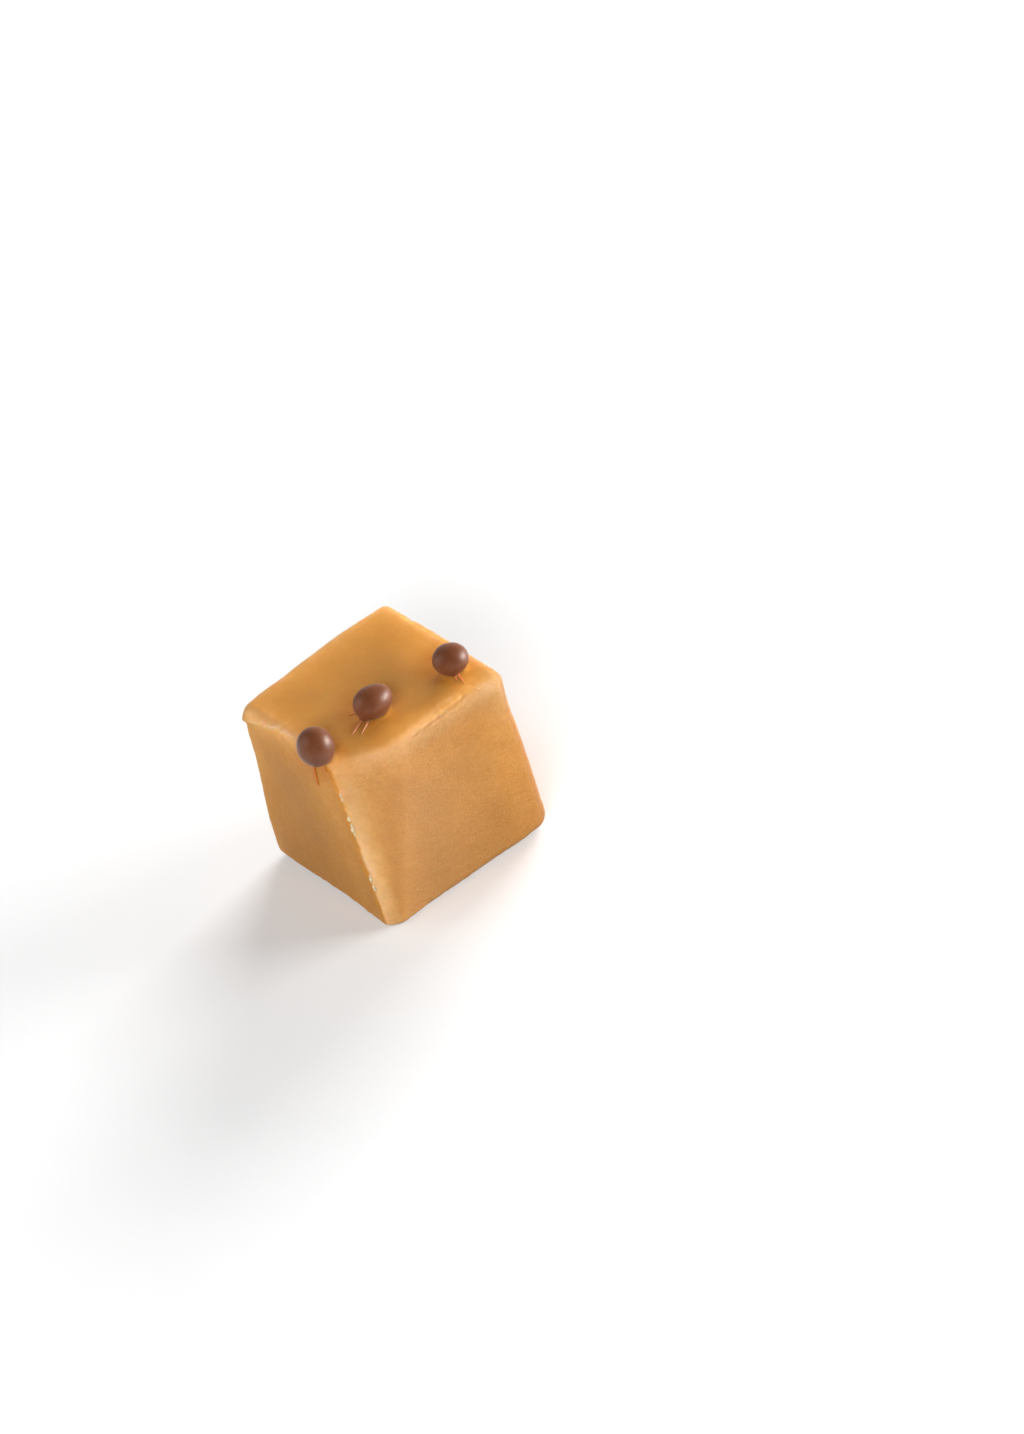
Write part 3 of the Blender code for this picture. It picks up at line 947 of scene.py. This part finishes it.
def add_node(tree, kind, settings=None, **inputs):
    """A node with its settings and inputs; an input is a value or another node's output."""
    node = tree.nodes.new(kind)
    for name, value in (settings or {}).items():
        setattr(node, name, value)
    for name, value in inputs.items():
        socket = node.inputs[int(name[1:])] if name[0] == "i" and name[1:].isdigit() else node.inputs[name]
        if isinstance(value, bpy.types.NodeSocket):
            tree.links.new(value, socket)
        else:
            socket.default_value = value
    return node


def place_in_mm(tree):
    """Coordinates on the part, in millimetres."""
    coordinates = add_node(tree, "ShaderNodeTexCoord")
    return stretched(tree, coordinates.outputs["Object"], (0.0, 0.0, 0.0), (1.0 / MM,) * 3)


def stretched(tree, place, rotation, scale):
    return add_node(tree, "ShaderNodeMapping", Vector=place, Rotation=rotation, Scale=scale).outputs[0]


def value_of(tree, name):
    """One of the values that add_values put on the block."""
    return add_node(tree, "ShaderNodeAttribute", {"attribute_name": name}).outputs["Fac"]


def noise_of(tree, place, per_mm, detail=2.0, roughness=0.5):
    return add_node(tree, "ShaderNodeTexNoise", Vector=place, Scale=per_mm, Detail=detail,
                    Roughness=roughness).outputs["Fac"]


def math_of(tree, operation, first, second=0.0, third=0.0):
    settings = {"operation": operation}
    return add_node(tree, "ShaderNodeMath", settings, i0=first, i1=second, i2=third).outputs[0]


def product(tree, first, second):
    return math_of(tree, "MULTIPLY", first, second)


def spread(tree, value, low, high, new_low=0.0, new_high=1.0):
    """Value mapped from low..high to new_low..new_high, with soft ends."""
    node = add_node(tree, "ShaderNodeMapRange", {"interpolation_type": "SMOOTHSTEP"}, Value=value)
    for name, number in (("From Min", low), ("From Max", high), ("To Min", new_low), ("To Max", new_high)):
        node.inputs[name].default_value = number
    return node.outputs[0]


def blend(tree, kind, share, first, second):
    node = add_node(tree, "ShaderNodeMix", {"data_type": "RGBA", "blend_type": kind})
    for index, value in ((0, share), (6, first), (7, second)):
        if isinstance(value, bpy.types.NodeSocket):
            tree.links.new(value, node.inputs[index])
        else:
            node.inputs[index].default_value = value
    return node.outputs[2]


def ramp(tree, value, stops):
    node = add_node(tree, "ShaderNodeValToRGB", Fac=value)
    elements = node.color_ramp.elements
    while len(elements) < len(stops):
        elements.new(0.5)
    for element, (place, colour) in zip(elements, stops):
        element.position = place
        element.color = colour
    return node.outputs["Color"]


def set_bump(tree, shader, height, strength, distance):
    bump = add_node(tree, "ShaderNodeBump", Strength=strength, Distance=distance, Height=height)
    tree.links.new(bump.outputs[0], shader.inputs["Normal"])


def sugar_specks(tree, place, cut):
    """Sparse specks of sugar on the cut faces."""
    cells = add_node(tree, "ShaderNodeTexVoronoi", Vector=place, Scale=SUGAR_CELLS)
    speck = spread(tree, cells.outputs["Distance"], *SUGAR_RADIUS)
    cell_value = add_node(tree, "ShaderNodeSeparateColor", Color=cells.outputs["Color"]).outputs[0]
    return product(tree, product(tree, speck, spread(tree, cell_value, *SUGAR_RARE)), cut)


def fudge_colour(tree, place, cut, specks):
    """Paler at the edges, with slow clouds, fine mottling, painted light and shade, a tint for each part of
    the faces, and sugar.
    """
    edge = value_of(tree, "edge")
    front = value_of(tree, "front")
    axes = add_node(tree, "ShaderNodeSeparateXYZ", Vector=place).outputs
    wobble = noise_of(tree, place, *EDGE_NOISE)
    wobble = math_of(tree, "MULTIPLY_ADD", wobble, EDGE_WANDER, -NOISE_MEAN * EDGE_WANDER)
    inward = math_of(tree, "DIVIDE", math_of(tree, "ADD", edge, wobble), EDGE_RANGE)
    colour = ramp(tree, inward, FUDGE_STOPS)
    clouds = ramp(tree, noise_of(tree, place, *CLOUD_NOISE), CLOUDS)
    colour = blend(tree, "MULTIPLY", 1.0, colour, clouds)
    mottle = ramp(tree, noise_of(tree, place, *MOTTLE_NOISE), MOTTLE)
    mottled = math_of(tree, "MULTIPLY_ADD", cut, 1.0 - MOTTLE_SKIN, MOTTLE_SKIN)
    colour = blend(tree, "MULTIPLY", mottled, colour, mottle)

    milky = product(tree, front, spread(tree, axes["X"], *MILKY_MM_X, 0.0, FRONT_MILKY))
    colour = blend(tree, "MIX", milky, colour, MILKY)
    side = product(tree, cut, math_of(tree, "SUBTRACT", 1.0, front))
    colour = blend(tree, "MULTIPLY", side, colour, SIDE_DEEP)
    # Painted light: the other cut faces lighter towards the top
    high = product(tree, spread(tree, axes["Z"], *SIDE_LIGHT_MM_Z), math_of(tree, "SUBTRACT", cut, front))
    colour = blend(tree, "MULTIPLY", high, colour, SIDE_TOP_PAINTED_LIGHT)
    # Painted shade: the cut faces darker towards the base
    low = product(tree, spread(tree, axes["Z"], *BASE_SHADE_MM_Z), cut)
    low = product(tree, low, spread(tree, edge, *BASE_SHADE_EDGE))
    colour = blend(tree, "MULTIPLY", low, colour, BASE_PAINTED_SHADE)
    # Painted light: the top lighter towards its right and front
    top_right_light = product(tree, spread(tree, axes["X"], *TOP_LIGHT_MM_X), math_of(tree, "SUBTRACT", 1.0, cut))
    top_right_light = product(tree, top_right_light, spread(tree, axes["Y"], *TOP_LIGHT_MM_Y))
    colour = blend(tree, "MULTIPLY", top_right_light, colour, TOP_RIGHT_PAINTED_LIGHT)
    # Tints, among them painted shade, painted shadow, painted glow and a painted highlight
    for name, tint in TINTS:
        colour = blend(tree, "MULTIPLY", value_of(tree, name), colour, tint)
    return blend(tree, "MIX", product(tree, specks, SUGAR_SHARE), colour, SUGAR)


def fudge_roughness(tree, place, cut):
    """A smooth skin on top, duller where the knife went through."""
    dull = math_of(tree, "MULTIPLY_ADD", cut, CUT_DULLER, SKIN_ROUGH)
    patches = noise_of(tree, place, *GLOSS_NOISE)
    patches = math_of(tree, "MULTIPLY_ADD", patches, ROUGH_WANDER, -NOISE_MEAN * ROUGH_WANDER)
    return math_of(tree, "ADD", dull, patches)


def fudge_height(tree, place, cut, specks):
    """Grain and smears of the cut faces, sugar, and fine scratches low on the left face."""
    silky = stretched(tree, place, SILKY_ROTATION, SILKY_SCALE)
    grain = math_of(tree, "ADD", noise_of(tree, place, *GRAIN_NOISE), noise_of(tree, silky, *SILKY_NOISE))
    grain = math_of(tree, "SUBTRACT", grain, 2.0 * NOISE_MEAN)
    height = product(tree, grain, math_of(tree, "MULTIPLY_ADD", cut, 1.0 - GRAIN_SKIN, GRAIN_SKIN))
    height = math_of(tree, "MULTIPLY_ADD", specks, SUGAR_BUMP, height)
    smeared = stretched(tree, place, SMEAR_ROTATION, SMEAR_SCALE)
    smear = math_of(tree, "SUBTRACT", noise_of(tree, smeared, *SMEAR_NOISE), NOISE_MEAN)
    smear = product(tree, smear, cut)
    height = math_of(tree, "MULTIPLY_ADD", smear, SMEAR_BUMP, height)
    turned = stretched(tree, place, SCRATCH_ROTATION, SCRATCH_SCALE)
    scratch = spread(tree, noise_of(tree, turned, *SCRATCH_NOISE), *SCRATCH_RANGE)
    gap = add_node(tree, "ShaderNodeVectorMath", {"operation": "DISTANCE"}, i0=place, i1=SCRATCH_PLACE)
    scratch = product(tree, scratch, spread(tree, gap.outputs["Value"], *SCRATCH_FADE))
    return math_of(tree, "MULTIPLY_ADD", scratch, SCRATCH_BUMP, height)


def fudge_material():
    material, tree, shader = new_material("caramel_fudge", FUDGE_LOOK)
    place = place_in_mm(tree)
    cut = value_of(tree, "cut")
    specks = sugar_specks(tree, place, cut)
    tree.links.new(fudge_colour(tree, place, cut, specks), shader.inputs["Base Color"])
    tree.links.new(fudge_roughness(tree, place, cut), shader.inputs["Roughness"])
    set_bump(tree, shader, fudge_height(tree, place, cut, specks), *FUDGE_BUMP)
    return material


def mottled_material(name, look, pattern, stops):
    """A material whose colour wanders between two stops, with what its maker may add to."""
    material, tree, shader = new_material(name, look)
    place = place_in_mm(tree)
    tree.links.new(ramp(tree, noise_of(tree, place, *pattern), stops), shader.inputs["Base Color"])
    return material, tree, shader, place


def crumb_material():
    material, tree, shader, place = mottled_material("fudge_crumb", CRUMB_LOOK, CRUMB_NOISE, CRUMB_STOPS)
    set_bump(tree, shader, noise_of(tree, place, *CRUMB_GRAIN_NOISE), *CRUMB_BUMP)
    return material


def chocolate_material():
    material, tree, shader, place = mottled_material("milk_chocolate", COCOA_LOOK, COCOA_NOISE, COCOA_STOPS)
    gloss = noise_of(tree, place, *COCOA_GLOSS_NOISE)
    rough = math_of(tree, "MULTIPLY_ADD", gloss, COCOA_ROUGH_WANDER, COCOA_ROUGH)
    tree.links.new(rough, shader.inputs["Roughness"])
    waves = noise_of(tree, place, *COCOA_WAVE_NOISE)
    height = math_of(tree, "MULTIPLY_ADD", noise_of(tree, place, *COCOA_FINE_NOISE), COCOA_FINE_BUMP, waves)
    set_bump(tree, shader, height, *COCOA_BUMP)
    return material


def make_camera():
    back = Vector((math.sin(AZIMUTH) * math.cos(ELEVATION),
                   -math.cos(AZIMUTH) * math.cos(ELEVATION), math.sin(ELEVATION)))
    data = bpy.data.cameras.new("camera")
    data.lens = LENS
    data.sensor_width = SENSOR
    data.clip_start = NEAREST
    camera = bpy.data.objects.new("camera", data)
    bpy.context.scene.collection.objects.link(camera)
    turn = (-back).to_track_quat("-Z", "Y").to_matrix().to_4x4() @ Matrix.Rotation(ROLL, 4, "Z")
    camera.matrix_world = Matrix.Translation(Vector(AIM) + back * DISTANCE) @ turn
    bpy.context.scene.camera = camera


def make_floor():
    shape = bmesh.new()
    bmesh.ops.create_grid(shape, x_segments=1, y_segments=1, size=FLOOR_HALF)
    material = mottled_material("floor", FLOOR_LOOK, FLOOR_NOISE, FLOOR_STOPS)[0]
    floor = mesh_object("floor", shape, material)
    floor.visible_diffuse = False


def make_light(name, direction, distance, width, height, power, shine):
    """An area light that looks at the block; without shine it leaves no highlight."""
    data = bpy.data.lights.new(name, "AREA")
    data.shape = "RECTANGLE"
    data.size = width
    data.size_y = height
    data.energy = power
    light = bpy.data.objects.new(name, data)
    light.visible_glossy = shine
    bpy.context.scene.collection.objects.link(light)
    direction = Vector(direction).normalized()
    light.location = Vector((0.0, 0.0, HEIGHT / 2)) + direction * distance
    light.rotation_euler = direction.to_track_quat("Z", "Y").to_euler()


def make_world():
    world = bpy.data.worlds.new("studio")
    world.use_nodes = True
    background = world.node_tree.nodes["Background"]
    background.inputs["Color"].default_value = (1.0, 1.0, 1.0, 1.0)
    background.inputs["Strength"].default_value = WORLD_GLOW
    bpy.context.scene.world = world
    bpy.context.scene.view_settings.view_transform = "Standard"


make_fudge(fudge_material())
make_crumbs(crumb_material())
chocolate = chocolate_material()
for drop_name, drop in DROPS.items():
    make_drop(drop_name, chocolate, **drop)
make_threads({drop_name: mottled_material("thread_" + drop_name, THREAD_LOOK, THREAD_NOISE, stops)[0]
              for drop_name, stops in THREAD_STOPS.items()})
make_floor()
for light in LIGHTS:
    make_light(*light)
make_world()
make_camera()
